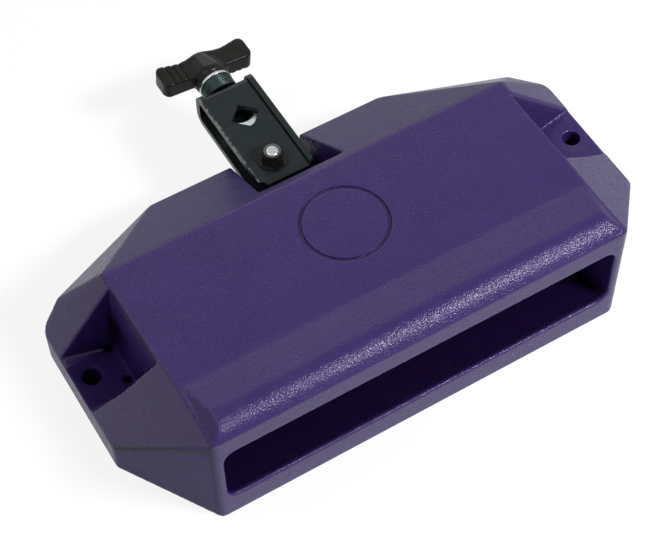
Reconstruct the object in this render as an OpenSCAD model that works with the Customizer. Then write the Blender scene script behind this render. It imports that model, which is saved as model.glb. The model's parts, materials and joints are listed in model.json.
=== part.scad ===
// Plastic percussion block: a hollow moulded block with a long mouth, carried by a folded
// steel strap that clamps onto an upright rod with an eye bolt and a wing nut.
// The mouth faces -Y and the block rests on its underside at z = 0.

/* [Block] */
// Half the length of the mouth face and of the flat top
face_half = 102; // [95:0.5:108]
// Reach of the left end from the middle of the mouth
left_reach = 130; // [124:0.5:136]
// Reach of the right end from the middle of the mouth
right_reach = 144; // [136:0.5:150]
// Depth of the block from the mouth face to the rear wall
block_depth = 139; // [132:0.5:150]
// Height of the flat top at its front crease
top_height = 65; // [62:0.5:72]
// Fall of the flat top from its front crease to its rear edge
top_fall = 2; // [0.5:0.5:4]
// Distance of the front crease from the mouth face
crease_setback = 30.5; // [27:0.5:34]
// Distance of the rear edge of the flat top from the rear wall
rear_edge_setback = 40; // [37:0.5:45]
// Height of the rear wall
rear_wall_height = 36.3; // [34:0.1:39]
// Half the length of the rear wall
rear_wall_half = 61; // [55:0.5:66]
// Height of the end walls
end_height = 18; // [15:0.5:22]
// Distance of the front corner of each end wall from the mouth face
end_front = 45.4; // [42:0.1:47]
// Distance of the rear corner of each end wall from the rear wall
end_rear = 23.5; // [21:0.5:26]

/* [Lip] */
// Radius of the rounded striking lip
lip_radius = 11.5; // [9:0.5:13]
// Height of the lip over the front crease
lip_rise = 4.3; // [3:0.1:6]
// Distance of the lip's centre line from the mouth face
lip_setback = 10.5; // [9.5:0.1:12]

/* [Mouth] */
// Half the length of the mouth
mouth_half = 98; // [90:0.5:99]
// Height of the mouth's floor over the underside
mouth_floor = 14.7; // [10:0.1:17]
// Height of the mouth's opening
mouth_height = 36.7; // [30:0.1:38]
// Radius of the mouth's corners
mouth_corner_radius = 6; // [3:0.5:10]
// Thickness of the wall between the sound chamber and the strap's recess
chamber_wall = 10; // [8:0.5:30]

/* [End pockets] */
// Width of each pocket at the end wall
pocket_width = 30.7; // [26:0.1:34]
// Length of the end wall behind each pocket
pocket_rear_wall = 17.8; // [15:0.1:20]
// How much nearer the mouth face the rims run at the inner wall
pocket_skew = 19.5; // [10:0.5:21]
// Width of each pocket at its inner wall
pocket_inner_width = 43.5; // [38:0.5:45]
// Lean of the pocket's inner wall, top to floor
pocket_draft = 3.6; // [1:0.1:5]
// Diameter of the fixing hole
fixing_hole_d = 8.3; // [6:0.1:10]
// Distance of the fixing hole from the end wall
fixing_hole_inset = 8.6; // [7:0.1:11]
// Diameter of the pair of pilot holes
pilot_hole_d = 3.8; // [2:0.1:4.2]
// Distance between the pilot holes
pilot_pitch = 19; // [14:0.5:22]
// Depth of the washer seat round the right fixing hole
fixing_seat_depth = 0.3; // [0.2:0.1:1]

/* [Emblem] */
// Radius of the plain ring in the flat top
emblem_radius = 19.7; // [15:0.1:24]
// Width of the ring's groove
emblem_groove = 1; // [0.6:0.1:2]
// Depth of the ring's groove
emblem_depth = 0.5; // [0.3:0.1:1]

/* [Strap] */
// Width of the strap
strap_width = 28.7; // [26:0.1:30]
// Thickness of the strap along its edges
strap_thickness = 3.4; // [3:0.1:3.8]
// Height of the folded strap
strap_height = 18.4; // [17.5:0.1:20]
// How far the strap stands out behind the block
strap_reach = 39; // [37:0.5:45]
// How far the strap's legs lie over the block
strap_overlap = 24.3; // [22:0.1:26]
// Outer radius of the strap's bends
strap_bend_radius = 5.5; // [4.5:0.1:7]
// Depth of the pressed panel in each leg
panel_depth = 1.2; // [0.6:0.1:1.6]
// Width of the full-thickness edge beside each panel
panel_border = 2.8; // [2:0.1:4]
// Distance of the strap's middle from the middle of the mouth
strap_offset = -1.5; // [-1.8:0.1:0]
// Side of the square rod hole, which stands on its corner
rod_hole_side = 10.6; // [9.8:0.1:11.5]
// Distance of the rod hole from the outside of the fold
rod_hole_setback = 22.7; // [21:0.1:24]
// Length of the corners cut off each leg's free end
leg_corner = 3; // [1:0.5:5]

/* [Strap bolt] */
// Diameter of the bolt
bolt_d = 6; // [5:0.1:6.4]
// Width across the flats of the bolt head and the nut
hex_width = 10; // [9:0.1:11.1]
// Height of the bolt head
bolt_head_height = 4; // [3:0.1:5]
// Height of the nut
nut_height = 5.4; // [4.5:0.1:8]
// Diameter of the washers
washer_d = 14.5; // [12:0.1:16]
// Thickness of the washers
washer_thickness = 1; // [0.8:0.1:1.6]
// Distance of the bolt from the rear wall, towards the mouth
bolt_setback = 12.5; // [11:0.1:14]
// Distance of the bolt from the middle of the mouth
bolt_offset = -3.2; // [-3.4:0.1:-1]

/* [Eye bolt] */
// Diameter of the eye bolt's shank
shank_d = 8; // [6:0.1:8.5]
// Diameter of the round eye that takes the rod
eye_bore = 13; // [11:0.1:13.4]
// Outer diameter of the eye
eye_d = 22.4; // [20:0.1:22.6]
// Height of the eye
eye_height = 9; // [8.5:0.1:10]
// How far the drawn-back eye lies behind the strap's rod hole
eye_setback = 6.6; // [6:0.1:6.8]
// Diameter of the spacer sleeve behind the strap
sleeve_d = 16.4; // [14:0.1:18]
// Distance from the strap to the end of the spacer sleeve
sleeve_length = 6.2; // [5:0.1:9]
// Diameter of the thrust washer
thrust_washer_d = 17.2; // [15:0.1:20]
// Thickness of the thrust washer
thrust_washer_thickness = 1.4; // [1:0.1:2]

/* [Wing nut] */
// Running clearance between the thrust washer and the wing nut
handle_gap = 0.2; // [0.1:0.1:0.6]
// Diameter of the neck that turns on the thrust washer
neck_d = 16; // [14:0.1:17]
// Length of the neck
neck_length = 1.6; // [1:0.1:2.5]
// Diameter of the hub
hub_d = 18; // [17:0.5:20]
// Length of the hub in front of the wings
hub_length = 3.3; // [2:0.1:6]
// Span of the wings
wing_span = 47.4; // [42:0.1:56]
// Thickness of the wings
wing_thickness = 9; // [7:0.1:11]
// Depth of the wings along the eye bolt
wing_depth = 13.4; // [12:0.1:16]
// Turn of the wings about the eye bolt
wing_turn = 5; // [0:1:30]
// Number of grip grooves across a wing
grip_count = 3; // [1:1:4]
// Distance between the grip grooves
grip_pitch = 3.3; // [2:0.1:3.5]
// Distance of the first grip groove from the eye bolt
grip_inset = 11.6; // [11:0.1:13]
// Diameter of the threaded insert in the hub
handle_insert_d = 12; // [10:0.1:12.5]
// Length of the threaded insert
handle_insert_length = 10; // [8:0.1:11]

/* [Hidden] */
$fn = 96;

// How far cutters run past the faces that they cut
overrun = 1;
// Thickness of the slices that hulls are spanned between
slice = 0.02;
// Height at which the end facets cross the planes of the mouth face's two ends
facet_drop = 1;
facet_height = top_height - facet_drop;
// Height of the top of the mouth face, just under the lip
face_drop = 1.5;
face_height = top_height - face_drop;

// Places of the rear corners' ridges as shares of the reach, the depth and the end facet's height
left_ridge_shares = [0.923, 0.838, 0.98];
right_ridge_shares = [0.816, 0.813, 0.915];

// Recess for the strap in the rear of the block
recess_floor = 22;
recess_floor_half = 16.2;
recess_draft = 8.3;
recess_centre = -0.7;
recess_setback = 35;
tongue_half = 11;
tongue_end_gap = 3;
bolt_clearance = 0.3;
strap_lift = 1.3;

// Derived places, measured from the mouth face
fold_y = block_depth + strap_reach;
leg_end_y = block_depth - strap_overlap;
rod_hole_y = fold_y - rod_hole_setback;
bolt_y = block_depth - bolt_setback;
recess_front_y = block_depth - recess_setback;
mouth_depth = recess_front_y - chamber_wall;
rear_edge_y = block_depth - rear_edge_setback;
end_rear_y = block_depth - end_rear;
pocket_front = end_rear_y - pocket_rear_wall - pocket_width;
shank_z = rear_wall_height + strap_lift;
strap_top = shank_z + strap_height / 2;
strap_bottom = shank_z - strap_height / 2;
gap_half = strap_height / 2 - strap_thickness;
panel_top = strap_top - panel_depth;
panel_bottom = strap_bottom + panel_depth;
panel_half = strap_width / 2 - panel_border;
bend_y = fold_y - strap_bend_radius;
bend_offset = strap_height / 2 - strap_bend_radius;
eye_y = rod_hole_y + eye_setback;
sleeve_end_y = fold_y + sleeve_length;
thrust_washer_end_y = sleeve_end_y + thrust_washer_thickness;
neck_start_y = thrust_washer_end_y + handle_gap;
hub_start_y = neck_start_y + neck_length;
wing_start_y = hub_start_y + hub_length;
handle_insert_end_y = neck_start_y + handle_insert_length;

// Clearance round shafts
bore_clearance = 0.05;

// End of the shank in the wing nut, and the blind room behind it
shank_past_insert = 3.5;
shank_room = 0.9;
shank_end_y = handle_insert_end_y + shank_past_insert;

// The lock nut's collar and the plastic insert in it
collar_height = nut_height * 0.3;
collar_d = hex_width * 0.96;
insert_d = collar_d * 0.82;
insert_height = collar_height * 0.8;

// Grip grooves in one face of each wing
grip_width = 0.8;
grip_depth = 0.6;

fixing_seat_d = fixing_hole_d * 1.9;
pilot_wall = 1;
emblem_y = 67.5;

// Moves a piece from the mouth face to the frame, whose origin is the middle of the underside
module placed() {
    translate([0, -block_depth / 2, 0]) children();
}

// Extrudes an outline of [y, z] points from x0 to x1
module along_x(points, x0, x1) {
    translate([x0, 0, 0]) rotate([90, 0, 90]) linear_extrude(x1 - x0) polygon(points);
}

// Extrudes an outline of [x, z] points from y0 to y1
module along_y(points, y0, y1) {
    translate([0, y1, 0]) rotate([90, 0, 0]) linear_extrude(y1 - y0) polygon(points);
}

// Round bar along Y
module bar_y(d, y0, y1) {
    translate([0, y0, 0]) rotate([-90, 0, 0]) cylinder(d = d, h = y1 - y0);
}

// Six-sided bar along Z, by its width across the flats
module hex_bar(width, h) {
    cylinder(d = width / cos(30), h = h, $fn = 6);
}

// Half length of the block where an end facet reaches a height
function facet_x(reach, z) =
    face_half + (facet_height - z) * (reach - face_half) / (facet_height - end_height);

// Height of an end facet at a distance from the middle
function facet_z(reach, x) =
    end_height + (reach - x) * (facet_height - end_height) / (reach - face_half);

// Rear corner ridge of one end as [x, y, z], on the end facet
function ridge(reach, shares) = [
    reach * shares[0],
    block_depth * shares[1],
    facet_z(reach, reach * shares[0]) * shares[2]
];

left_ridge = ridge(left_reach, left_ridge_shares);
right_ridge = ridge(right_reach, right_ridge_shares);
rear_edge_height = top_height - top_fall;

// Upper corner points of one end; side is -1 on the left and 1 on the right
function end_points(side, reach, corner) = [
    [side * facet_x(reach, face_height), 0, face_height],
    [side * facet_x(reach, top_height), crease_setback, top_height],
    [side * facet_x(reach, rear_edge_height), rear_edge_y, rear_edge_height],
    [side * rear_wall_half, block_depth, rear_wall_height],
    [side * corner[0], corner[1], corner[2]],
    [side * reach, end_front, end_height],
    [side * reach, end_rear_y, end_height]
];

module block_plan() {
    polygon([
        [-face_half, 0],
        [face_half, 0],
        [right_reach, end_front],
        [right_reach, end_rear_y],
        [right_ridge[0], right_ridge[1]],
        [rear_wall_half, block_depth],
        [-rear_wall_half, block_depth],
        [-left_ridge[0], left_ridge[1]],
        [-left_reach, end_rear_y],
        [-left_reach, end_front]
    ]);
}

// Convex shell of facets over the block's plan
module block_facets() {
    top_points = concat(end_points(-1, left_reach, left_ridge), end_points(1, right_reach, right_ridge));
    ground_points = [for (p = top_points) [p[0], p[1], 0]];
    points = concat(top_points, ground_points);
    hull() polyhedron(points = points, faces = [[for (i = [0 : len(points) - 1]) i]]);
}

// Rounded striking lip in front of the crease
module lip() {
    lip_inset = lip_radius / 20;
    lip_lean = lip_radius / 2;
    lip_z = top_height + lip_rise - lip_radius;
    crease_run = crease_setback - lip_setback;
    crease_drop = top_height - lip_z;
    crease_distance = norm([crease_run, crease_drop]);
    // Angle at which the band from the crease touches the lip's curve
    touch = atan2(crease_drop, crease_run) + acos(lip_radius / crease_distance);
    intersection() {
        union() {
            intersection() {
                translate([-left_reach, lip_setback, lip_z])
                    rotate([0, 90, 0]) cylinder(r = lip_radius, h = left_reach + right_reach, $fn = 192);
                translate([-left_reach, 0, lip_z]) cube([left_reach + right_reach, block_depth, lip_radius]);
            }
            along_x([
                [lip_setback, lip_z],
                [crease_setback, lip_z],
                [crease_setback, top_height],
                [lip_setback + lip_radius * cos(touch), lip_z + lip_radius * sin(touch)]
            ], -left_reach, right_reach);
        }
        linear_extrude(2 * top_height) block_plan();
        // Ends of the lip, which start just inside the end facets and lean in more than they do
        along_y([
            [-facet_x(left_reach, face_height) + lip_inset, 0],
            [facet_x(right_reach, face_height) - lip_inset, 0],
            [facet_x(right_reach, face_height) - lip_inset, face_height],
            [facet_x(right_reach, face_height) - lip_inset - lip_lean, face_height + lip_lean],
            [-facet_x(left_reach, face_height) + lip_inset + lip_lean, face_height + lip_lean],
            [-facet_x(left_reach, face_height) + lip_inset, face_height]
        ], 0, block_depth);
    }
}

// Sound chamber behind the mouth, with round corners
module chamber() {
    r = mouth_corner_radius;
    translate([-mouth_half, -overrun, mouth_floor + r])
        cube([2 * mouth_half, mouth_depth + overrun, mouth_height - 2 * r]);
    translate([r - mouth_half, -overrun, mouth_floor])
        cube([2 * (mouth_half - r), mouth_depth + overrun, mouth_height]);
    for (x = [r - mouth_half, mouth_half - r], z = [mouth_floor + r, mouth_floor + mouth_height - r])
        translate([x, 0, z]) bar_y(2 * r, -overrun, mouth_depth);
}

// Plan of one end pocket, where inset moves its inner wall outwards
module pocket_plan(side, reach, inset) {
    inner = face_half + inset;
    polygon([
        [side * inner, pocket_front - pocket_skew],
        [side * (reach + overrun), pocket_front],
        [side * (reach + overrun), pocket_front + pocket_width],
        [side * inner, pocket_front - pocket_skew + pocket_inner_width]
    ]);
}

module pocket(side, reach) {
    hull() {
        translate([0, 0, end_height]) linear_extrude(slice) pocket_plan(side, reach, pocket_draft);
        translate([0, 0, top_height]) linear_extrude(slice) pocket_plan(side, reach, 0);
    }
}

module end_holes(side, reach) {
    hole_y = pocket_front + pocket_width / 2;
    pilot_x = face_half + pocket_draft + pilot_hole_d / 2 + pilot_wall;
    translate([side * (reach - fixing_hole_inset), hole_y, -overrun])
        cylinder(d = fixing_hole_d, h = end_height + 2 * overrun);
    if (side > 0)
        translate([side * (reach - fixing_hole_inset), hole_y, end_height - fixing_seat_depth])
            cylinder(d = fixing_seat_d, h = fixing_seat_depth + overrun);
    for (y = [hole_y - pilot_pitch / 2, hole_y + pilot_pitch / 2])
        translate([side * pilot_x, y, -overrun]) cylinder(d = pilot_hole_d, h = end_height + 2 * overrun);
}

// Recess that takes the strap's legs, open above and behind
module strap_recess() {
    recess_top = 2 * top_height;
    spread = (recess_top - recess_floor) * tan(recess_draft);
    along_y([
        [recess_centre - recess_floor_half, recess_floor],
        [recess_centre + recess_floor_half, recess_floor],
        [recess_centre + recess_floor_half + spread, recess_top],
        [recess_centre - recess_floor_half - spread, recess_top]
    ], recess_front_y, block_depth + overrun);
}

// Tongue of the block that the strap's legs grip
module tongue() {
    difference() {
        translate([strap_offset - tongue_half, recess_front_y - overrun, shank_z - gap_half])
            cube([2 * tongue_half, recess_setback + overrun - tongue_end_gap, 2 * gap_half]);
        translate([bolt_offset, bolt_y, 0]) cylinder(d = bolt_d + 2 * bolt_clearance, h = 2 * shank_z);
    }
}

module emblem_ring() {
    slope_run = rear_edge_y - crease_setback;
    slope = atan(top_fall / slope_run);
    ring_z = top_height - top_fall * (emblem_y - crease_setback) / slope_run;
    translate([0, emblem_y, ring_z]) rotate([-slope, 0, 0]) rotate_extrude(angle = 360)
        translate([emblem_radius - emblem_groove / 2, -emblem_depth])
            square([emblem_groove, 2 * emblem_depth]);
}

module body() {
    color([0.30, 0.23, 0.45]) placed() {
        difference() {
            union() {
                intersection() {
                    block_facets();
                    linear_extrude(2 * top_height) block_plan();
                }
                lip();
            }
            chamber();
            pocket(-1, left_reach);
            pocket(1, right_reach);
            end_holes(-1, left_reach);
            end_holes(1, right_reach);
            strap_recess();
            emblem_ring();
        }
        tongue();
    }
}

// Plan of one leg of the strap, with its free corners cut off
module leg_plan(half, y1, corner) {
    polygon([
        [-half, y1],
        [-half, leg_end_y + corner],
        [-half + corner * 4 / 3, leg_end_y],
        [half - corner * 4 / 3, leg_end_y],
        [half, leg_end_y + corner],
        [half, y1]
    ]);
}

// Quarter ring of the strap's upper or lower bend, whose axis lies along X
module strap_bend(side, width) {
    translate([-width / 2, bend_y, shank_z + side * bend_offset]) rotate([0, 90, 0]) intersection() {
        difference() {
            cylinder(r = strap_bend_radius, h = width);
            translate([0, 0, -overrun])
                cylinder(r = strap_bend_radius - strap_thickness, h = width + 2 * overrun);
        }
        translate([side > 0 ? -strap_bend_radius : 0, 0, 0])
            cube([strap_bend_radius, strap_bend_radius, width]);
    }
}

// Strap folded round the rod's place: two legs, two bends and the wall between them
module strap_fold() {
    for (z = [strap_top - strap_thickness, strap_bottom])
        translate([-strap_width / 2, leg_end_y, z])
            cube([strap_width, bend_y - leg_end_y, strap_thickness]);
    strap_bend(-1, strap_width);
    strap_bend(1, strap_width);
    translate([-strap_width / 2, fold_y - strap_thickness, shank_z - bend_offset])
        cube([strap_width, strap_thickness, 2 * bend_offset]);
}

// Room over the pressed panel, which runs along both legs and round the fold
module panel_room() {
    panel_r = strap_bend_radius - panel_depth;
    room_length = fold_y + overrun - leg_end_y + overrun;
    difference() {
        translate([-panel_half, leg_end_y - overrun, strap_bottom - overrun])
            cube([2 * panel_half, room_length, strap_height + 2 * overrun]);
        translate([-strap_width / 2, leg_end_y - 2 * overrun, panel_bottom])
            cube([strap_width, bend_y - leg_end_y + 2 * overrun, panel_top - panel_bottom]);
        translate([-strap_width / 2, bend_y - overrun, shank_z - bend_offset])
            cube([strap_width, panel_r + overrun, 2 * bend_offset]);
        for (z = [shank_z - bend_offset, shank_z + bend_offset])
            translate([-strap_width / 2, bend_y, z])
                rotate([0, 90, 0]) cylinder(r = panel_r, h = strap_width);
    }
}

module bracket_strap() {
    color([0.18, 0.18, 0.19]) placed() translate([strap_offset, 0, 0]) difference() {
        intersection() {
            strap_fold();
            linear_extrude(2 * strap_top) leg_plan(strap_width / 2, fold_y, leg_corner);
        }
        panel_room();
        translate([0, rod_hole_y, 0]) rotate([0, 0, 45])
            translate([-rod_hole_side / 2, -rod_hole_side / 2, 0])
                cube([rod_hole_side, rod_hole_side, 2 * strap_top]);
        translate([bolt_offset - strap_offset, bolt_y, 0])
            cylinder(d = bolt_d + 2 * bolt_clearance, h = 2 * strap_top);
        translate([0, 0, shank_z])
            bar_y(shank_d + 2 * bore_clearance, fold_y - strap_thickness - overrun, fold_y + overrun);
    }
}

module strap_bolt() {
    head_top = panel_bottom - washer_thickness;
    tip_top = panel_top + washer_thickness + nut_height;
    tip_chamfer = bolt_d / 15;
    color([0.72, 0.72, 0.70]) placed() translate([bolt_offset, bolt_y, 0]) {
        translate([0, 0, head_top - bolt_head_height]) hex_bar(hex_width, bolt_head_height);
        translate([0, 0, head_top - bolt_head_height / 2])
            cylinder(d = bolt_d, h = tip_top - tip_chamfer - head_top + bolt_head_height / 2);
        translate([0, 0, tip_top - tip_chamfer])
            cylinder(d1 = bolt_d, d2 = bolt_d - 2 * tip_chamfer, h = tip_chamfer);
    }
}

// Flat washer along Z with its lower face at the origin
module flat_washer(d, hole_d, h) {
    difference() {
        cylinder(d = d, h = h);
        translate([0, 0, -overrun]) cylinder(d = hole_d, h = h + 2 * overrun);
    }
}

module head_washer() {
    color([0.12, 0.12, 0.12]) placed() translate([bolt_offset, bolt_y, panel_bottom - washer_thickness])
        flat_washer(washer_d, bolt_d + 2 * bore_clearance, washer_thickness);
}

module nut_washer() {
    color([0.12, 0.12, 0.12]) placed() translate([bolt_offset, bolt_y, panel_top])
        flat_washer(washer_d, bolt_d + 2 * bore_clearance, washer_thickness);
}

module lock_nut() {
    hex_height = nut_height - collar_height;
    nut_z = panel_top + washer_thickness;
    color([0.08, 0.08, 0.08]) placed() translate([bolt_offset, bolt_y, nut_z]) difference() {
        union() {
            hex_bar(hex_width, hex_height);
            cylinder(d = collar_d, h = nut_height);
        }
        translate([0, 0, -overrun])
            cylinder(d = bolt_d + 2 * bore_clearance, h = nut_height + 2 * overrun);
        translate([0, 0, nut_height - insert_height]) cylinder(d = insert_d, h = insert_height + overrun);
    }
}

module nut_insert() {
    color([0.25, 0.26, 0.27]) placed()
        translate([bolt_offset, bolt_y, panel_top + washer_thickness + nut_height - insert_height])
            flat_washer(insert_d, bolt_d + 2 * bore_clearance, insert_height);
}

// Moves a piece that is drawn along Y onto the eye bolt's axis
module on_shank_axis() {
    placed() translate([strap_offset, 0, shank_z]) children();
}

// Round piece along Y with a bore that clears the shank
module shank_ring(d, y0, y1) {
    difference() {
        bar_y(d, y0, y1);
        bar_y(shank_d + 2 * bore_clearance, y0 - overrun, y1 + overrun);
    }
}

module spacer_sleeve() {
    color([0.60, 0.68, 0.67]) on_shank_axis() shank_ring(sleeve_d, fold_y - panel_depth, sleeve_end_y);
}

module thrust_washer() {
    color([0.80, 0.85, 0.83]) on_shank_axis()
        shank_ring(thrust_washer_d, sleeve_end_y, thrust_washer_end_y);
}

module eye_bolt() {
    wall_middle = (eye_bore + eye_d) / 4;
    color([0.62, 0.64, 0.63]) on_shank_axis() {
        translate([0, eye_y, -eye_height / 2]) difference() {
            cylinder(d = eye_d, h = eye_height);
            translate([0, 0, -overrun]) cylinder(d = eye_bore, h = eye_height + 2 * overrun);
        }
        bar_y(shank_d, eye_y + wall_middle, shank_end_y);
    }
}

module handle_insert() {
    color([0.55, 0.60, 0.60]) on_shank_axis()
        shank_ring(handle_insert_d, neck_start_y, handle_insert_end_y);
}

// Plan of the wings: across the bolt in shares of half the span, along it in shares of the depth
wing_rear_shares = [[0.15, 0.96], [0.32, 0.87], [0.46, 0.85], [0.57, 0.87], [0.77, 0.95], [0.89, 0.99]];
wing_tip_shares = [[0.96, 0.93], [1, 0.8], [1, 0.2], [0.96, 0.06], [0.9, 0]];

module wing_plan() {
    half_shares = concat(wing_rear_shares, wing_tip_shares);
    count = len(half_shares);
    right = [for (p = half_shares) [p[0] * wing_span / 2, p[1] * wing_depth]];
    left = [for (i = [count - 1 : -1 : 0]) [-right[i][0], right[i][1]]];
    polygon(concat([[0, wing_depth]], right, left));
}

// The grooves lie on opposite faces of the two wings
module grip_grooves() {
    for (turn = [wing_turn, wing_turn + 180], i = [0 : grip_count - 1])
        rotate([0, turn, 0])
            translate([
                -grip_inset - i * grip_pitch - grip_width / 2,
                wing_start_y - overrun,
                wing_thickness / 2 - grip_depth
            ])
                cube([grip_width, wing_depth + 2 * overrun, grip_depth + overrun]);
}

module wing_handle() {
    color([0.10, 0.10, 0.09]) on_shank_axis() difference() {
        union() {
            bar_y(neck_d, neck_start_y, wing_start_y);
            bar_y(hub_d, hub_start_y, wing_start_y);
            translate([0, wing_start_y, 0]) rotate([-90, 0, 0])
                cylinder(d1 = hub_d, d2 = wing_thickness, h = wing_depth);
            rotate([0, wing_turn, 0]) translate([0, wing_start_y, -wing_thickness / 2])
                linear_extrude(wing_thickness) wing_plan();
        }
        bar_y(handle_insert_d, neck_start_y - overrun, handle_insert_end_y);
        bar_y(shank_d + 2 * bore_clearance, neck_start_y, shank_end_y + shank_room);
        grip_grooves();
    }
}

body();
bracket_strap();
strap_bolt();
head_washer();
nut_washer();
lock_nut();
nut_insert();
spacer_sleeve();
thrust_washer();
eye_bolt();
handle_insert();
wing_handle();
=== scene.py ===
"""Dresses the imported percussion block: moulded edges, grained plastic, plated steel and threads.

The frame is the part's own: +Z up, the mouth faces -Y, the origin is under the middle of the block.
"""

import json
import math

import bmesh
import bpy
import numpy as np
from mathutils import Matrix, Vector


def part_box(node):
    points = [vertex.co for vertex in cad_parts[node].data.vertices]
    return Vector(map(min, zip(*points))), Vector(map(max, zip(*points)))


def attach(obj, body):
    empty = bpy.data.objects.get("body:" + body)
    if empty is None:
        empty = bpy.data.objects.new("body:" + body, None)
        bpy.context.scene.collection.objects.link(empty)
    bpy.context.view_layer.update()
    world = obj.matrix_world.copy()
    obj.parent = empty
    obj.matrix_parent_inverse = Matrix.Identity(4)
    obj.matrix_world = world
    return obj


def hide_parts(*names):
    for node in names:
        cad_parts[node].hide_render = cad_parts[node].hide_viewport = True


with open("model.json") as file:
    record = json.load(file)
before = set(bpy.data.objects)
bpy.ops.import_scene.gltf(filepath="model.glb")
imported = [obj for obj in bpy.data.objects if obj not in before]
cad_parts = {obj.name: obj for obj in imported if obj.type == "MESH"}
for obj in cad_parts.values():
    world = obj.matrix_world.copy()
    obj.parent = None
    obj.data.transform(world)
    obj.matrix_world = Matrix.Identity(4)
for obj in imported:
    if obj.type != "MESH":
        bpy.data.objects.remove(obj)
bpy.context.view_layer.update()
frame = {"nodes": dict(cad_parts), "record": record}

MM = 0.001

# Camera: its place, its angles in degrees and its lens in millimetres
CAMERA_PLACE = (-0.2304, -0.3927, 0.7001)
CAMERA_AZIMUTH = 29.9917
CAMERA_ELEVATION = 56.2635
CAMERA_ROLL = -1.0045
CAMERA_LENS = 96.3

# Lamps: name, direction, distance, width, height and power
LAMP_TARGET = (0, 0, 0.03)
LAMPS = (
    ("front_box", (0.44, -0.56, 0.71), 1.3, 0.30, 0.20, 21),
    ("left_box", (-0.50, 0.25, 0.83), 1.4, 0.6, 0.5, 4.8),
    ("rear_box", (0.25, 0.90, 0.40), 1.5, 1.0, 0.5, 3),
)

# Room and floor: light at the horizon and overhead, where overhead starts, the floor's size and its glow
HORIZON_LIGHT = 0.44
ZENITH_LIGHT = 0.16
ZENITH_START = 0.9
FLOOR_REACH = 4
FLOOR_GLOW = 0.85

# Eye bolt: its axis, its eye, its shank and its thread
SHANK_AXIS_X = -1.5 * MM
SHANK_AXIS_Z = 37.6 * MM
SHANK_RADIUS = 4 * MM
SHANK_CHAMFER = 0.6 * MM
EYE_BORE_RADIUS = 6.5 * MM
EYE_ROUNDING = 1.3 * MM
EYE_SIDES = 72
EYE_CORNER_STEPS = 4
THREAD_PITCH = 1.25 * MM
THREAD_DEPTH = 0.45 * MM
THREAD_FLANK = 1.25
THREAD_SIDES = 40
THREAD_STEPS = 8
THREAD_CREASE = 40

# Spacer sleeve: its bore, its chamfer and the grooves turned round it
SLEEVE_BORE = 4.05 * MM
SLEEVE_CHAMFER = 0.5 * MM
SLEEVE_SIDES = 96
SLEEVE_CREASE = 50
GROOVE_PITCH = 0.85 * MM
GROOVE_DEPTH = 0.22 * MM
GROOVE_STEPS = 8

# Bore of the handle: how far it reaches from the axis and to the rear, its bottom, its narrow part, the solid
# core that is left alone, and the room made round the bolt
BORE_REACH = 6.5 * MM
BORE_END = 132 * MM
BORE_BOTTOM = 130 * MM
NARROW_BORE = 5.2 * MM
BORE_CORE = 1 * MM
BORE_ROOM = 0.25 * MM

# Ring in the flat top
RING_RADIUS = 19.7 * MM
RING_CENTRE_Y = -2.0 * MM
RING_WIDTH = 1.7 * MM
RING_DEPTH = 0.8 * MM
RING_WALL = 0.4 * MM
RING_MARGIN = 1.7 * MM
RING_LEVEL = 60 * MM
RING_CUTS = 3

# Outer corners of the block's plan, in order round it
PLAN_CORNERS = (
    (-102.0 * MM, -69.5 * MM), (102.0 * MM, -69.5 * MM), (144.0 * MM, -24.1 * MM), (144.0 * MM, 46.0 * MM),
    (117.5 * MM, 43.5 * MM), (61.0 * MM, 69.5 * MM), (-61.0 * MM, 69.5 * MM), (-120.0 * MM, 46.98 * MM),
    (-130.0 * MM, 46.0 * MM), (-130.0 * MM, -24.1 * MM),
)
PLAN_ROUNDING = 5 * MM
PLAN_REACH = 3 * PLAN_ROUNDING

# Sampling: grid size, rounds of softening and share of the faces kept
BLOCK_SAMPLING = (0.55 * MM, 16, 0.3)
HANDLE_SAMPLING = (0.28 * MM, 70, 0.6)

# Copies of CAD nodes: how near points are welded, and how flat neighbouring faces are joined, in degrees
WELD_DISTANCE = 0.02 * MM
FLAT_ANGLE = 1

# Bevels: their segments, the least angle of an edge in degrees, and their widths
BEVEL_SEGMENTS = 3
BEVEL_ANGLE = 30
STRAP_BEVEL = 0.45 * MM
THRUST_WASHER_BEVEL = 0.25 * MM
WASHER_BEVEL = 0.15 * MM
NUT_BEVEL = 0.3 * MM
BOLT_BEVEL = 0.25 * MM

# Strap: its left edge, its top and the right border of its pressed panel
STRAP_LEFT = -15.85 * MM
STRAP_TOP = 46.8 * MM
PANEL_RIGHT = 10.05 * MM

# Edge between the left end's front facet and its wall, along which a band of shade is painted
RIDGE_START = (-130.0 * MM, -24.1 * MM, 18.0 * MM)
RIDGE_END = (-108.0 * MM, -62.9 * MM, 53.0 * MM)

# Wings of the handle
WING_TURN = math.radians(5)
GRIP_INSET = 11.6 * MM
GRIP_PITCH = 3.3 * MM
GRIP_COUNT = 3
GRIP_WIDTH = 0.9 * MM
GRIP_DEPTH = 0.4 * MM
GRIP_START = 2 * MM

# Regions: for each edge its axis, where the region starts and where it is whole
FOOTPRINT = (
    ("X", -126 * MM, -125 * MM), ("X", 140 * MM, 139 * MM),
    ("Y", -22 * MM, -21 * MM), ("Y", 40 * MM, 39 * MM),
)
# Chamber behind the mouth, whose inside is darkened by painted shade
CHAMBER = (
    ("X", -98 * MM, -96 * MM), ("X", 98 * MM, 96 * MM),
    ("Y", -69 * MM, -67.2 * MM), ("Y", 30 * MM, 28 * MM),
    ("Z", 2 * MM, 3 * MM), ("Z", 50.5 * MM, 49.5 * MM),
)
POCKET = (("X", -103.4 * MM, -104 * MM), ("Y", 22.4 * MM, 21.8 * MM), ("Z", 17 * MM, 17.6 * MM))
POCKET_REAR = (*POCKET, ("Y", -3 * MM, -2 * MM))
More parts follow.
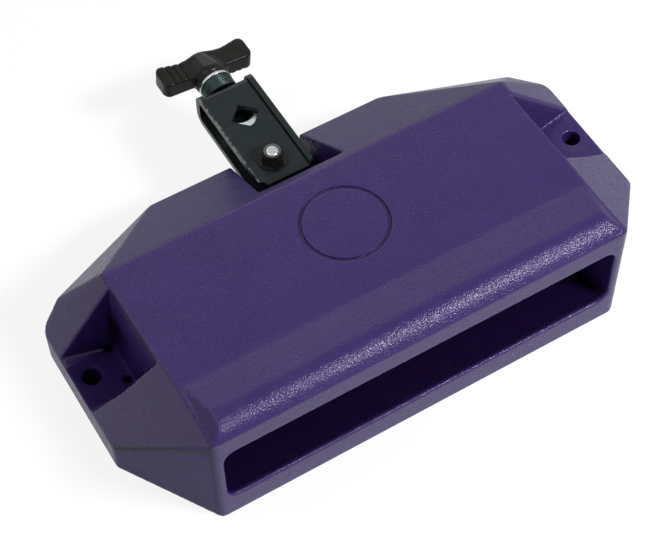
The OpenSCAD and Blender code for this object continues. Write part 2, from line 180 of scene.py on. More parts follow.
# Inner rear corner of the left pocket, darkened by painted shade, and the distances over which the shade
# fades
POCKET_CORNER = (-104 * MM, 22 * MM, 34 * MM)
CORNER_FADE = (20 * MM, 4 * MM)
# Width of the band of painted shade along the left end's edge
RIDGE_FADE = (2.8 * MM, 1.3 * MM)
LEFT_END = (("X", -100 * MM, -103 * MM),)
# Painted highlight along the strap's left edge: the band it lies in, and the share of noise that breaks it
# into patches
HIGHLIGHT_EDGE = (
    ("X", STRAP_LEFT + 0.9 * MM, STRAP_LEFT + 0.3 * MM),
    ("Z", STRAP_TOP - 0.8 * MM, STRAP_TOP - 0.3 * MM),
)
HIGHLIGHT_PATCHES = (0.42, 0.55)
# Crease along the right border of the strap's panel, darkened by painted shade
PANEL_CREASE = (
    ("X", PANEL_RIGHT - 1.0 * MM, PANEL_RIGHT - 0.5 * MM), ("X", PANEL_RIGHT + 0.3 * MM, PANEL_RIGHT),
    ("Z", STRAP_TOP - 3 * MM, STRAP_TOP - 2.5 * MM),
)

# Reflection of the block, weakened as painted shade: its full and its dimmed level, how much the rear is
# dimmed, and the ranges of a face's normal over which its reflection is dimmed
FULL_REFLECTION = 0.28
DIMMED_REFLECTION = 0.04
REAR_DIMMING = 0.8
FACES_REAR = (0.2, 0.5)
FACES_RIGHT = (0.3, 0.6)
STANDS_UPRIGHT = (0.45, 0.15)

# Surface of the block: its grain and its broader waves
GRAIN_CELL = 0.58 * MM
GRAIN_HEIGHT = 0.17 * MM
WAVE_CELL = 2.2 * MM
WAVE_HEIGHT = 0.06 * MM

# Colours
VIOLETS = ((0.0215, 0.0096, 0.077), (0.0245, 0.0115, 0.086))
# Painted shade inside the chamber
CHAMBER_SHADE_VIOLET = (0.005, 0.0015, 0.017)
# Painted shade in the left pocket's inner corner
CORNER_SHADE_VIOLET = (0.003, 0.001, 0.011)
# Painted shade in the ring groove
RING_SHADE_VIOLET = (0.014, 0.006, 0.046)
# Painted shade along the left end's edge
RIDGE_SHADE_VIOLET = (0.009, 0.0035, 0.032)
VIOLET_GLOSS = (0.94, 0.84, 1, 1)
COAT_BLACKS = ((0.007, 0.011, 0.012), (0.011, 0.016, 0.017))
# Painted shade in the strap panel's crease
CREASE_SHADE_BLACK = (0.0008, 0.0012, 0.0013)
# Painted highlight on the strap's left edge
EDGE_HIGHLIGHT_GREY = (0.14, 0.16, 0.16)
NUT_BLACKS = ((0.003, 0.003, 0.003), (0.006, 0.006, 0.007))
NYLON_GREYS = ((0.035, 0.038, 0.042), (0.06, 0.064, 0.07))
HANDLE_BLACKS = ((0.008, 0.008, 0.007), (0.012, 0.012, 0.0105))
ZINC = (0.62, 0.68, 0.69)
# Zinc darkened as painted shade, for the sleeve and the handle's insert
SHADED_ZINC = (0.033, 0.046, 0.047)
BRIGHT_ZINC = (0.53, 0.55, 0.55)


def link(data, name):
    """Puts a new mesh into the scene as an object."""
    piece = bpy.data.objects.new(name, data)
    bpy.context.scene.collection.objects.link(piece)
    return piece


def smooth(piece, angle=None):
    """Shades a piece smooth, with sharp edges where its faces meet at more than an angle."""
    for face in piece.data.polygons:
        face.use_smooth = True
    if angle is not None:
        piece.data.set_sharp_from_angle(angle=math.radians(angle))


def freeze(piece):
    """Makes the piece's modifiers part of its mesh."""
    graph = bpy.context.evaluated_depsgraph_get()
    data = bpy.data.meshes.new_from_object(piece.evaluated_get(graph))
    piece.modifiers.clear()
    piece.data = data


def stand_in(piece, node, material):
    """Lets a piece take the place of a CAD node, on its body and with its material slot."""
    bodies = frame["record"]["behaviour"]["bodies"]
    body = next(name for name, members in bodies.items() if node in members)
    piece.data.materials.clear()
    piece.data.materials.append(material)
    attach(piece, body)
    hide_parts(node)


def dress(node, material):
    """Gives a CAD node that stays its material."""
    target = frame["nodes"][node]
    if target.data.materials:
        for slot in target.material_slots:
            slot.material = material
    else:
        target.data.materials.append(material)


def copy_of(node, name):
    """A welded copy of a CAD node's mesh, with its flat faces whole."""
    mesh = bmesh.new()
    mesh.from_mesh(frame["nodes"][node].data)
    bmesh.ops.remove_doubles(mesh, verts=mesh.verts, dist=WELD_DISTANCE)
    flat = math.radians(FLAT_ANGLE)
    bmesh.ops.dissolve_limit(mesh, angle_limit=flat, verts=mesh.verts, edges=mesh.edges)
    data = bpy.data.meshes.new(name)
    mesh.to_mesh(data)
    mesh.free()
    return link(data, name)


def bevelled_copy(node, name, width):
    """A copy of a CAD node whose edges are rounded by a bevel."""
    piece = copy_of(node, name)
    smooth(piece)
    bevel = piece.modifiers.new("bevel", "BEVEL")
    bevel.width = width
    bevel.segments = BEVEL_SEGMENTS
    bevel.limit_method = "ANGLE"
    bevel.angle_limit = math.radians(BEVEL_ANGLE)
    weighted = piece.modifiers.new("weighted", "WEIGHTED_NORMAL")
    weighted.weight = 100
    freeze(piece)
    return piece


def voxel_copy(node, name, size):
    """A copy of a CAD node resampled on a fine grid."""
    piece = copy_of(node, name)
    remesh = piece.modifiers.new("remesh", "REMESH")
    remesh.mode = "VOXEL"
    remesh.voxel_size = size
    freeze(piece)
    return piece


def soften(piece, rounds):
    """Rounds a finely sampled piece's edges."""
    relax = piece.modifiers.new("relax", "SMOOTH")
    relax.factor = 0.5
    relax.iterations = rounds
    freeze(piece)


def thin_out(piece, kept):
    """Leaves a share of a piece's faces, the most where it curves most."""
    thin = piece.modifiers.new("thin", "DECIMATE")
    thin.ratio = kept
    freeze(piece)


def points_of(piece):
    """A piece's vertices as an array."""
    points = np.empty(3 * len(piece.data.vertices))
    piece.data.vertices.foreach_get("co", points)
    return points.reshape(-1, 3)


def put_points(piece, points):
    """Moves a piece's vertices to the places in an array."""
    piece.data.vertices.foreach_set("co", points.ravel())
    piece.data.update()


# Camera, lamps and stage


def make_camera():
    """The photograph's view: place and angles in the part's frame."""
    azimuth = math.radians(CAMERA_AZIMUTH)
    elevation = math.radians(CAMERA_ELEVATION)
    roll = math.radians(CAMERA_ROLL)
    forward = Vector((
        math.sin(azimuth) * math.cos(elevation),
        math.cos(azimuth) * math.cos(elevation),
        -math.sin(elevation),
    ))
    right = Vector((math.cos(azimuth), -math.sin(azimuth), 0))
    down = forward.cross(right)
    turned_right = math.cos(roll) * right - math.sin(roll) * down
    turned_down = math.sin(roll) * right + math.cos(roll) * down
    data = bpy.data.cameras.new("camera")
    data.sensor_width = 36
    data.lens = CAMERA_LENS
    data.clip_start = 0.01
    data.clip_end = 20
    camera = bpy.data.objects.new("camera", data)
    bpy.context.scene.collection.objects.link(camera)
    turn = Matrix((turned_right, -turned_down, -forward)).transposed()
    camera.matrix_world = Matrix.Translation(CAMERA_PLACE) @ turn.to_4x4()
    bpy.context.scene.camera = camera


def softbox(name, direction, distance, width, height, power):
    """A rectangular lamp that looks at the block from a direction."""
    away = Vector(direction).normalized()
    data = bpy.data.lights.new(name, "AREA")
    data.shape = "RECTANGLE"
    data.size = width
    data.size_y = height
    data.energy = power
    lamp = bpy.data.objects.new(name, data)
    bpy.context.scene.collection.objects.link(lamp)
    lamp.location = Vector(LAMP_TARGET) + away * distance
    lamp.rotation_mode = "QUATERNION"
    lamp.rotation_quaternion = away.to_track_quat("Z", "Y")


def larger(tree, first, second):
    """The larger one of two values."""
    node = tree.nodes.new("ShaderNodeMath")
    node.operation = "MAXIMUM"
    tree.links.new(first, node.inputs[0])
    tree.links.new(second, node.inputs[1])
    return node.outputs["Value"]


def background_rays(tree):
    """One for camera, glossy and transmission rays, which see the white background, else zero."""
    rays = tree.nodes.new("ShaderNodeLightPath")
    value = rays.outputs["Is Camera Ray"]
    for name in ("Is Glossy Ray", "Is Transmission Ray"):
        value = larger(tree, value, rays.outputs[name])
    return value


def make_world():
    """A pale room that is brighter at the horizon than overhead, and white behind the object."""
    world = bpy.data.worlds.new("world")
    bpy.context.scene.world = world
    world.use_nodes = True
    nodes = world.node_tree.nodes
    links = world.node_tree.links
    nodes.clear()
    output = nodes.new("ShaderNodeOutputWorld")
    place = nodes.new("ShaderNodeTexCoord")
    split = nodes.new("ShaderNodeSeparateXYZ")
    height = nodes.new("ShaderNodeMapRange")
    height.inputs["From Min"].default_value = 0.0
    height.inputs["From Max"].default_value = ZENITH_START
    height.inputs["To Min"].default_value = HORIZON_LIGHT
    height.inputs["To Max"].default_value = ZENITH_LIGHT
    room = nodes.new("ShaderNodeBackground")
    white = nodes.new("ShaderNodeBackground")
    white.inputs["Color"].default_value = (1, 1, 1, 1)
    mix = nodes.new("ShaderNodeMixShader")
    links.new(place.outputs["Generated"], split.inputs["Vector"])
    links.new(split.outputs["Z"], height.inputs["Value"])
    links.new(height.outputs["Result"], room.inputs["Strength"])
    links.new(background_rays(world.node_tree), mix.inputs["Fac"])
    links.new(room.outputs["Background"], mix.inputs[1])
    links.new(white.outputs["Background"], mix.inputs[2])
    links.new(mix.outputs["Shader"], output.inputs["Surface"])


def make_floor():
    """A wide pale floor that keeps the object's soft shadow and is plain under the block."""
    mesh = bmesh.new()
    bmesh.ops.create_grid(mesh, x_segments=4, y_segments=4, size=FLOOR_REACH)
    data = bpy.data.meshes.new("floor")
    mesh.to_mesh(data)
    mesh.free()
    floor = link(data, "floor")
    material = bpy.data.materials.new("floor_white")
    material.use_nodes = True
    nodes = material.node_tree.nodes
    links = material.node_tree.links
    nodes.clear()
    output = nodes.new("ShaderNodeOutputMaterial")
    paint = nodes.new("ShaderNodeBsdfDiffuse")
    paint.inputs["Color"].default_value = (0.9, 0.9, 0.9, 1)
    glow = nodes.new("ShaderNodeEmission")
    glow.inputs["Color"].default_value = (1, 1, 1, 1)
    glow.inputs["Strength"].default_value = 1.0
    seen = nodes.new("ShaderNodeMath")
    seen.operation = "MULTIPLY"
    seen.inputs[1].default_value = FLOOR_GLOW
    mix = nodes.new("ShaderNodeMixShader")
    links.new(background_rays(material.node_tree), seen.inputs[0])
    shown = nodes.new("ShaderNodeMath")
    shown.operation = "MULTIPLY_ADD"
    shown.inputs[1].default_value = -1
    shown.inputs[2].default_value = 1
    links.new(inside(material, FOOTPRINT), shown.inputs[0])
    links.new(product(material, (seen.outputs["Value"], shown.outputs["Value"])), mix.inputs["Fac"])
    links.new(paint.outputs["BSDF"], mix.inputs[1])
    links.new(glow.outputs["Emission"], mix.inputs[2])
    links.new(mix.outputs["Shader"], output.inputs["Surface"])
    data.materials.append(material)


# Materials


def new_material(name):
    """A material and its shader."""
    material = bpy.data.materials.new(name)
    material.use_nodes = True
    return material, material.node_tree.nodes["Principled BSDF"]


def object_place(material):
    """The object's own coordinates."""
    return material.node_tree.nodes.new("ShaderNodeTexCoord").outputs["Object"]


def noise(material, cell, detail):
    """Noise whose features are about one cell across."""
    node = material.node_tree.nodes.new("ShaderNodeTexNoise")
    node.inputs["Scale"].default_value = 1 / cell
    node.inputs["Detail"].default_value = detail
    material.node_tree.links.new(object_place(material), node.inputs["Vector"])
    return node.outputs["Fac"]


def grain(material, cell):
    """Leather-like cells of one size."""
    node = material.node_tree.nodes.new("ShaderNodeTexVoronoi")
    node.feature = "SMOOTH_F1"
    node.inputs["Scale"].default_value = 1 / cell
    node.inputs["Smoothness"].default_value = 0.6
    material.node_tree.links.new(object_place(material), node.inputs["Vector"])
    return node.outputs["Distance"]


def spread(material, value, low, high, start=0.3, end=0.7):
    """Maps a value's middle range onto low to high."""
    node = material.node_tree.nodes.new("ShaderNodeMapRange")
    node.inputs["From Min"].default_value = start
    node.inputs["From Max"].default_value = end
    node.inputs["To Min"].default_value = low
    node.inputs["To Max"].default_value = high
    material.node_tree.links.new(value, node.inputs["Value"])
    return node.outputs["Result"]


def blend_colours(material, value, first, second):
    """Goes from a first colour to a second one as the value goes from 0 to 1."""
    node = material.node_tree.nodes.new("ShaderNodeMix")
    node.data_type = "RGBA"
    material.node_tree.links.new(value, node.inputs["Factor"])
    node.inputs["A"].default_value = (*first, 1)
    node.inputs["B"].default_value = (*second, 1)
    return node.outputs["Result"]


def bump(material, shader, heights):
    """Chains bumps, each a height and its depth in metres, onto the shader's normal."""
    links = material.node_tree.links
    previous = None
    for height, depth in heights:
        node = material.node_tree.nodes.new("ShaderNodeBump")
        node.inputs["Strength"].default_value = 1.0
        node.inputs["Distance"].default_value = depth
        links.new(height, node.inputs["Height"])
        if previous is not None:
            links.new(previous, node.inputs["Normal"])
        previous = node.outputs["Normal"]
    links.new(previous, shader.inputs["Normal"])


def ramp(material, value, start, end):
    """Rises from 0 at the start to 1 at the end."""
    return spread(material, value, 0, 1, start, end)


def product(material, values):
    """Multiplies values with one another."""
    result = values[0]
    for value in values[1:]:
        node = material.node_tree.nodes.new("ShaderNodeMath")
        node.operation = "MULTIPLY"
        material.node_tree.links.new(result, node.inputs[0])
        material.node_tree.links.new(value, node.inputs[1])
        result = node.outputs["Value"]
    return result


def split_place(material):
    """The object's own coordinates, one output for each axis."""
    split = material.node_tree.nodes.new("ShaderNodeSeparateXYZ")
    material.node_tree.links.new(object_place(material), split.inputs["Vector"])
    return split.outputs


def inside(material, region):
    """1 inside a region, falling to 0 over its edges."""
    place = split_place(material)
    return product(material, [ramp(material, place[axis], start, end) for axis, start, end in region])


def pocket_corner_shade(material):
    """1 in the inner rear corner of the left pocket, where shade is painted, falling to 0 towards its front
    and left.
    """
    tree = material.node_tree
    away = tree.nodes.new("ShaderNodeVectorMath")
    away.operation = "DISTANCE"
    away.inputs[1].default_value = POCKET_CORNER
    tree.links.new(object_place(material), away.inputs[0])
    near = ramp(material, away.outputs["Value"], *CORNER_FADE)
    return product(material, (near, inside(material, POCKET)))


def ring_groove_shade(material):
    """1 in the bottom of the ring groove, where shade is painted, 0 elsewhere."""
    tree = material.node_tree
    place = split_place(material)
    flat = tree.nodes.new("ShaderNodeCombineXYZ")
    away = tree.nodes.new("ShaderNodeVectorMath")
    away.operation = "DISTANCE"
    away.inputs[1].default_value = (0, RING_CENTRE_Y, 0)
    tree.links.new(place["X"], flat.inputs["X"])
    tree.links.new(place["Y"], flat.inputs["Y"])
    tree.links.new(flat.outputs["Vector"], away.inputs[0])
    reach = RING_WIDTH / 2
    return product(material, (
        ramp(material, away.outputs["Value"], RING_RADIUS - reach, RING_RADIUS - reach / 2),
        ramp(material, away.outputs["Value"], RING_RADIUS + reach, RING_RADIUS + reach / 2),
        ramp(material, place["Z"], RING_LEVEL, RING_LEVEL + 1 * MM),
    ))


def end_ridge_shade(material):
    """1 along the slanting edge between the left end's front facet and the wall below it, where shade is
    painted.
    """
    tree = material.node_tree
    offset = tree.nodes.new("ShaderNodeVectorMath")
    offset.operation = "SUBTRACT"
    offset.inputs[1].default_value = RIDGE_START
    across = tree.nodes.new("ShaderNodeVectorMath")
    across.operation = "CROSS_PRODUCT"
    across.inputs[1].default_value = (Vector(RIDGE_END) - Vector(RIDGE_START)).normalized()
    away = tree.nodes.new("ShaderNodeVectorMath")
    away.operation = "LENGTH"
    tree.links.new(object_place(material), offset.inputs[0])
    tree.links.new(offset.outputs["Vector"], across.inputs[0])
    tree.links.new(across.outputs["Vector"], away.inputs[0])
    return ramp(material, away.outputs["Value"], *RIDGE_FADE)


def reflection_dimming(material):
    """Rises where reflection is weakened as painted shade: the rear, the right, the left end's wall and its
    pocket's rear.
    """
    tree = material.node_tree
    facing = tree.nodes.new("ShaderNodeSeparateXYZ")
    tree.links.new(tree.nodes.new("ShaderNodeNewGeometry").outputs["Normal"], facing.inputs["Vector"])
    rear = spread(material, facing.outputs["Y"], 0, REAR_DIMMING, *FACES_REAR)
    right = ramp(material, facing.outputs["X"], *FACES_RIGHT)
    upright = ramp(material, facing.outputs["Z"], *STANDS_UPRIGHT)
    left = product(material, (upright, inside(material, LEFT_END)))
    total = larger(tree, rear, right)
    total = larger(tree, total, left)
    return larger(tree, total, inside(material, POCKET_REAR))


def tinted(material, colour, value, other):
    """Blends a colour towards another one where the value is 1."""
    node = material.node_tree.nodes.new("ShaderNodeMix")
    node.data_type = "RGBA"
    material.node_tree.links.new(value, node.inputs["Factor"])
    material.node_tree.links.new(colour, node.inputs["A"])
    node.inputs["B"].default_value = (*other, 1)
    return node.outputs["Result"]


def violet_plastic():
    """Dark violet moulded plastic with a fine leather grain; painted shade darkens its hollows, ring groove
    and left edge.
    """
    material, shader = new_material("violet_plastic")
    links = material.node_tree.links
    mottle = spread(material, noise(material, 22 * MM, 3), 0, 1)
    colour = blend_colours(material, mottle, *VIOLETS)
    # Painted shade: darker inside the chamber, in the left pocket's inner corner, in the ring groove and
    # along the left end's edge
    colour = tinted(material, colour, inside(material, CHAMBER), CHAMBER_SHADE_VIOLET)
    colour = tinted(material, colour, pocket_corner_shade(material), CORNER_SHADE_VIOLET)
    colour = tinted(material, colour, ring_groove_shade(material), RING_SHADE_VIOLET)
    colour = tinted(material, colour, end_ridge_shade(material), RIDGE_SHADE_VIOLET)
    links.new(colour, shader.inputs["Base Color"])
    shader.inputs["Specular Tint"].default_value = VIOLET_GLOSS
    # Painted shade on the reflection: weaker on faces turned to the rear, the right and on the left end's
    # wall
    reflection_level = spread(material, reflection_dimming(material), FULL_REFLECTION, DIMMED_REFLECTION, 0, 1)
    links.new(reflection_level, shader.inputs["Specular IOR Level"])
    sheen = spread(material, noise(material, 6 * MM, 2), 0.23, 0.28)
    links.new(sheen, shader.inputs["Roughness"])
    bump(material, shader, (
        (grain(material, GRAIN_CELL), GRAIN_HEIGHT),
        (noise(material, WAVE_CELL, 2), WAVE_HEIGHT),
    ))
    return material


def black_powder_coat():
    """Fine textured black paint on steel, with a painted highlight along the left edge and painted shade in
    the panel's crease.
    """
    material, shader = new_material("black_powder_coat")
    shader.inputs["Specular IOR Level"].default_value = 0.15
    links = material.node_tree.links
    patch = spread(material, noise(material, 9 * MM, 3), 0, 1)
    colour = blend_colours(material, patch, *COAT_BLACKS)
    # Painted highlight in patches along the strap's left edge
    patchy = ramp(material, noise(material, 1.5 * MM, 3), *HIGHLIGHT_PATCHES)
    edge_highlight = product(material, (inside(material, HIGHLIGHT_EDGE), patchy))
    # Painted shade in the panel's crease
    colour = tinted(material, colour, inside(material, PANEL_CREASE), CREASE_SHADE_BLACK)
    colour = tinted(material, colour, edge_highlight, EDGE_HIGHLIGHT_GREY)
    links.new(colour, shader.inputs["Base Color"])
    links.new(spread(material, noise(material, 3 * MM, 2), 0.26, 0.36), shader.inputs["Roughness"])
    bump(material, shader, ((noise(material, 0.5 * MM, 2), 0.035 * MM),))
    return material


def zinc_plate(name, tint, rough):
    """Zinc-plated steel with faint stains and a fine uneven surface."""
    material, shader = new_material(name)
    shader.inputs["Metallic"].default_value = 1.0
    links = material.node_tree.links
    stain = spread(material, noise(material, 2.5 * MM, 3), 0, 1)
    darker = tuple(0.72 * part for part in tint)
    links.new(blend_colours(material, stain, darker, tint), shader.inputs["Base Color"])
    sheen = spread(material, noise(material, 1.2 * MM, 2), rough - 0.08, rough + 0.10)
    links.new(sheen, shader.inputs["Roughness"])
    bump(material, shader, ((noise(material, 0.3 * MM, 2), 0.012 * MM),))
    return material


def gloss_black():
    """Glossy black finish on the nut and its washers."""
    material, shader = new_material("gloss_black")
    shader.inputs["Specular IOR Level"].default_value = 0.2
    links = material.node_tree.links
    patch = spread(material, noise(material, 3 * MM, 2), 0, 1)
    links.new(blend_colours(material, patch, *NUT_BLACKS), shader.inputs["Base Color"])
    links.new(spread(material, noise(material, 1.5 * MM, 2), 0.08, 0.16), shader.inputs["Roughness"])
    bump(material, shader, ((noise(material, 0.8 * MM, 2), 0.015 * MM),))
    return material


def nylon():
    """Dull grey nylon of the nut's insert."""
    material, shader = new_material("nylon")
    shader.inputs["Roughness"].default_value = 0.5
    links = material.node_tree.links
    patch = spread(material, noise(material, 1.5 * MM, 2), 0, 1)
    links.new(blend_colours(material, patch, *NYLON_GREYS), shader.inputs["Base Color"])
    bump(material, shader, ((noise(material, 0.4 * MM, 1), 0.01 * MM),))
    return material


def handle_plastic():
    """Satin black plastic of the wing handle."""
    material, shader = new_material("handle_plastic")
    shader.inputs["Specular IOR Level"].default_value = 0.1
    links = material.node_tree.links
    patch = spread(material, noise(material, 7 * MM, 3), 0, 1)
    links.new(blend_colours(material, patch, *HANDLE_BLACKS), shader.inputs["Base Color"])
    links.new(spread(material, noise(material, 2 * MM, 2), 0.18, 0.27), shader.inputs["Roughness"])
    bump(material, shader, ((noise(material, 0.6 * MM, 2), 0.03 * MM),))
    return material


# Pieces


def carve_ring(piece):
    """Cuts the plain ring into the flat top, on faces made finer for it."""
    points = points_of(piece)
    off = np.abs(np.hypot(points[:, 0], points[:, 1] - RING_CENTRE_Y) - RING_RADIUS)
    near = np.flatnonzero((points[:, 2] > RING_LEVEL) & (off < RING_MARGIN))
    mesh = bmesh.new()
    mesh.from_mesh(piece.data)
    mesh.verts.ensure_lookup_table()
    chosen = {mesh.verts[int(index)] for index in near}
    edges = list({edge for vert in chosen for edge in vert.link_edges if edge.other_vert(vert) in chosen})
    bmesh.ops.subdivide_edges(mesh, edges=edges, cuts=RING_CUTS, use_grid_fill=True)
    mesh.to_mesh(piece.data)
    mesh.free()
    points = points_of(piece)
    off = np.abs(np.hypot(points[:, 0], points[:, 1] - RING_CENTRE_Y) - RING_RADIUS)
    share = np.clip((RING_WIDTH / 2 - off) / RING_WALL, 0, 1)
    rounded = share * share * (3 - 2 * share)
    points[:, 2] -= np.where(points[:, 2] > RING_LEVEL, RING_DEPTH * rounded, 0)
    put_points(piece, points)


def round_plan(piece):
    """Rounds the block's upright outer corner edges, as seen from above."""
    points = points_of(piece)
    count = len(PLAN_CORNERS)
    for index, corner in enumerate(PLAN_CORNERS):
        apex = np.array(corner)
        before = np.array(PLAN_CORNERS[index - 1]) - apex
        after = np.array(PLAN_CORNERS[(index + 1) % count]) - apex
        before /= np.linalg.norm(before)
        after /= np.linalg.norm(after)
        if before[0] * after[1] > before[1] * after[0]:
            continue
        half_angle = math.acos(float(before @ after)) / 2
        inward = before + after
        inward /= np.linalg.norm(inward)
        centre = apex + inward * PLAN_ROUNDING / math.sin(half_angle)
        rel = points[:, :2] - centre
        far = np.linalg.norm(rel, axis=1)
        along = rel @ -inward
        wedge = (far > PLAN_ROUNDING) & (along > far * math.sin(half_angle)) & (far < PLAN_REACH)
        points[wedge, :2] = centre + rel[wedge] * (PLAN_ROUNDING / far[wedge])[:, None]
    put_points(piece, points)


def make_block(material):
    grid, rounds, kept = BLOCK_SAMPLING
    piece = voxel_copy("body", "block_shell", grid)
    round_plan(piece)
    soften(piece, rounds)
    carve_ring(piece)
    thin_out(piece, kept)
    smooth(piece)
    stand_in(piece, "body", material)


def make_strap(material):
    piece = bevelled_copy("bracket_strap", "strap_shell", STRAP_BEVEL)
    stand_in(piece, "bracket_strap", material)


def carve_grips(piece):
    """Cuts the grip grooves into opposite faces of the two wings."""
    points = points_of(piece)
    x = points[:, 0] - SHANK_AXIS_X
    z = points[:, 2] - SHANK_AXIS_Z
    across = x * math.cos(WING_TURN) - z * math.sin(WING_TURN)
    over = x * math.sin(WING_TURN) + z * math.cos(WING_TURN)
    depth = np.zeros(len(points))
    for index in range(GRIP_COUNT):
        place = GRIP_INSET + index * GRIP_PITCH
        off = np.abs(np.abs(across) - place)
        groove = GRIP_DEPTH * 0.5 * (1 + np.cos(np.pi * np.clip(off / (GRIP_WIDTH / 2), 0, 1)))
        facing = (np.sign(across) * np.sign(over) < 0) & (np.abs(over) > GRIP_START)
        depth = np.where(facing, np.maximum(depth, groove), depth)
    cut = -np.sign(over) * depth
    points[:, 0] += cut * math.sin(WING_TURN)
    points[:, 2] += cut * math.cos(WING_TURN)
    put_points(piece, points)


def clear_bore(piece, before):
    """Puts the wall of the handle's bore back after softening, a little wider than the eye bolt."""
    radius = np.hypot(before[:, 0] - SHANK_AXIS_X, before[:, 2] - SHANK_AXIS_Z)
    inner = (radius < BORE_REACH) & (before[:, 1] < BORE_END)
    points = points_of(piece)
    points[inner] = before[inner]
    narrow = inner & (radius < NARROW_BORE)
    past = points[:, 1] > BORE_BOTTOM
    outward = np.where(narrow & (radius > BORE_CORE), BORE_ROOM / np.maximum(radius, BORE_CORE), 0)
    points[:, 0] += (points[:, 0] - SHANK_AXIS_X) * outward
    points[:, 2] += (points[:, 2] - SHANK_AXIS_Z) * outward
    points[narrow & past, 1] += BORE_ROOM
    put_points(piece, points)


def make_handle(material):
    grid, rounds, kept = HANDLE_SAMPLING
    piece = voxel_copy("wing_handle", "handle_shell", grid)
    before = points_of(piece)
    soften(piece, rounds)
    clear_bore(piece, before)
    carve_grips(piece)
    thin_out(piece, kept)
    smooth(piece)
    stand_in(piece, "wing_handle", material)


def lathe_y(name, rings, sides, radius_at):
    """A closed surface round the eye bolt's axis. Each ring is its place y and its radius."""
    mesh = bmesh.new()
    rows = []
    for y, radius in rings:
        row = []
        for step in range(sides):
            angle = 2 * math.pi * step / sides
            r = radius_at(radius, y, angle)
            x = SHANK_AXIS_X + r * math.cos(angle)
            z = SHANK_AXIS_Z + r * math.sin(angle)
            row.append(mesh.verts.new((x, y, z)))
        rows.append(row)
    for first, second in zip(rows, rows[1:]):
        for step in range(sides):
            after = (step + 1) % sides
            mesh.faces.new((first[step], first[after], second[after], second[step]))
    mesh.faces.new(rows[0])
    mesh.faces.new(rows[-1])
    bmesh.ops.recalc_face_normals(mesh, faces=mesh.faces)
    data = bpy.data.meshes.new(name)
    mesh.to_mesh(data)
    mesh.free()
    return link(data, name)


def eye_ring(centre_y, outer_radius, half_height):
    """The round eye, with rounded edges, as a ring of profiles about an upright line."""
    inner = EYE_BORE_RADIUS
    r = EYE_ROUNDING
    profile = []
    for corner_radius, corner_z, start in (
        (outer_radius - r, half_height - r, 0), (inner + r, half_height - r, 90),
        (inner + r, r - half_height, 180), (outer_radius - r, r - half_height, 270),
    ):
        for step in range(EYE_CORNER_STEPS + 1):
            angle = math.radians(start + 90 * step / EYE_CORNER_STEPS)
            profile.append((corner_radius + r * math.cos(angle), corner_z + r * math.sin(angle)))
    mesh = bmesh.new()
    rows = []
    for step in range(EYE_SIDES):
        angle = 2 * math.pi * step / EYE_SIDES
        rows.append([
            mesh.verts.new((
                SHANK_AXIS_X + radius * math.cos(angle),
                centre_y + radius * math.sin(angle),
                SHANK_AXIS_Z + height,
            ))
            for radius, height in profile
        ])
    count = len(profile)
    for index in range(EYE_SIDES):
        first = rows[index]
        second = rows[(index + 1) % EYE_SIDES]
        for step in range(count):
            after = (step + 1) % count
            mesh.faces.new((first[step], second[step], second[after], first[after]))
    bmesh.ops.recalc_face_normals(mesh, faces=mesh.faces)
    data = bpy.data.meshes.new("eye_ring")
    mesh.to_mesh(data)
    mesh.free()
    return link(data, "eye_ring")


def make_eye_bolt(material):
    """The eye with its threaded shank, made one by a union."""
    low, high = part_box("eye_bolt")
    outer_radius = (high.x - low.x) / 2
    centre_y = low.y + outer_radius
    start = centre_y + (EYE_BORE_RADIUS + outer_radius) / 2
    thread_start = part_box("bracket_strap")[1].y
    length = high.y - SHANK_CHAMFER - thread_start

    def radius_at(ring_radius, y, angle):
        if y < thread_start or ring_radius < SHANK_RADIUS:
            return ring_radius
        turns = (y / THREAD_PITCH - angle / (2 * math.pi)) % 1.0
        return ring_radius - THREAD_DEPTH * min(1.0, THREAD_FLANK * abs(2 * turns - 1))

    rings = [(start, SHANK_RADIUS), (thread_start - SHANK_CHAMFER, SHANK_RADIUS)]
    count = round(length / THREAD_PITCH * THREAD_STEPS)
    for step in range(count + 1):
        rings.append((thread_start + length * step / count, SHANK_RADIUS))
    rings.append((high.y, SHANK_RADIUS - SHANK_CHAMFER))
    piece = lathe_y("eye_bolt_threaded", rings, THREAD_SIDES, radius_at)
    ring = eye_ring(centre_y, outer_radius, (high.z - low.z) / 2)
    union = piece.modifiers.new("union", "BOOLEAN")
    union.operation = "UNION"
    union.solver = "EXACT"
    union.object = ring
    freeze(piece)
    bpy.data.objects.remove(ring)
    smooth(piece, THREAD_CREASE)
    stand_in(piece, "eye_bolt", material)


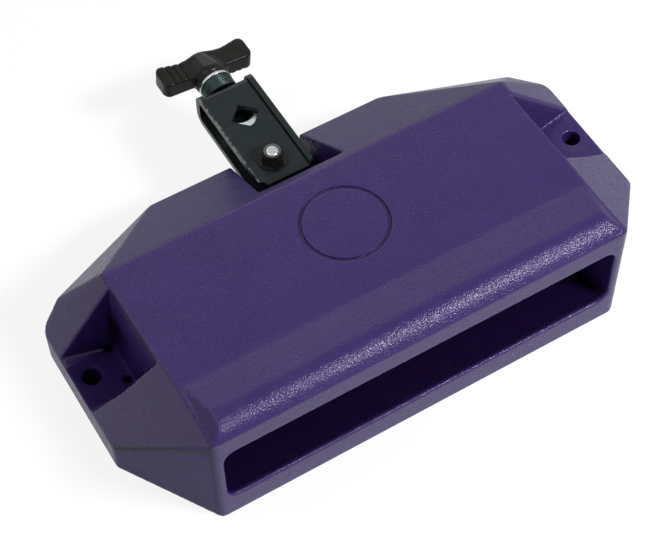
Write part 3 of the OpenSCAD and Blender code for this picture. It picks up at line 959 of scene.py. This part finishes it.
def bored_ring(name, rings, sides, bore):
    """A lathed piece with a plain bore along its axis."""
    piece = lathe_y(name, rings, sides, lambda ring_radius, y, angle: ring_radius)
    mesh = bmesh.new()
    mesh.from_mesh(piece.data)
    ends = [face for face in mesh.faces if len(face.verts) > 8]
    loops = []
    for face in sorted(ends, key=lambda face: face.calc_center_median().y):
        outer = list(face.verts)
        inner = []
        for vert in outer:
            angle = math.atan2(vert.co.z - SHANK_AXIS_Z, vert.co.x - SHANK_AXIS_X)
            place = (SHANK_AXIS_X + bore * math.cos(angle), vert.co.y, SHANK_AXIS_Z + bore * math.sin(angle))
            inner.append((angle, mesh.verts.new(place)))
        mesh.faces.remove(face)
        for step in range(len(outer)):
            after = (step + 1) % len(outer)
            mesh.faces.new((outer[step], outer[after], inner[after][1], inner[step][1]))
        loops.append([vert for angle, vert in sorted(inner, key=lambda pair: pair[0])])
    for step in range(sides):
        after = (step + 1) % sides
        mesh.faces.new((loops[0][step], loops[0][after], loops[1][after], loops[1][step]))
    bmesh.ops.recalc_face_normals(mesh, faces=mesh.faces)
    mesh.to_mesh(piece.data)
    mesh.free()
    return piece


def make_sleeve(material):
    """The spacer sleeve, with fine grooves turned round it."""
    low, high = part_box("spacer_sleeve")
    radius = (high.x - low.x) / 2
    start = low.y + SLEEVE_CHAMFER
    length = high.y - SLEEVE_CHAMFER - start
    steps = GROOVE_STEPS * round(length / GROOVE_PITCH)
    rings = [(low.y, radius - SLEEVE_CHAMFER)]
    for step in range(steps + 1):
        wave = 0.5 - 0.5 * math.cos(2 * math.pi * step / GROOVE_STEPS)
        rings.append((start + length * step / steps, radius - GROOVE_DEPTH * wave))
    rings.append((high.y, radius - SLEEVE_CHAMFER))
    piece = bored_ring("sleeve_turned", rings, SLEEVE_SIDES, SLEEVE_BORE)
    smooth(piece, SLEEVE_CREASE)
    stand_in(piece, "spacer_sleeve", material)


def make_small_hardware(bright, black):
    """Rounded copies of the small turned and pressed pieces."""
    for node, width, material in (
        ("thrust_washer", THRUST_WASHER_BEVEL, bright),
        ("head_washer", WASHER_BEVEL, black),
        ("nut_washer", WASHER_BEVEL, black),
        ("lock_nut", NUT_BEVEL, black),
        ("strap_bolt", BOLT_BEVEL, bright),
    ):
        stand_in(bevelled_copy(node, node + "_shell", width), node, material)


def main():
    bpy.context.scene.view_settings.view_transform = "Standard"
    make_camera()
    make_world()
    for lamp in LAMPS:
        softbox(*lamp)
    make_floor()
    zinc = zinc_plate("zinc_plate", ZINC, 0.30)
    # Zinc darkened as painted shade, used on the sleeve and the handle's insert
    shaded_zinc_plate = zinc_plate("zinc_plate_shaded", SHADED_ZINC, 0.30)
    bright = zinc_plate("bright_zinc", BRIGHT_ZINC, 0.26)
    black = gloss_black()
    make_block(violet_plastic())
    make_strap(black_powder_coat())
    make_handle(handle_plastic())
    make_eye_bolt(zinc)
    make_sleeve(shaded_zinc_plate)
    make_small_hardware(bright, black)
    dress("handle_insert", shaded_zinc_plate)
    dress("nut_insert", nylon())


main()
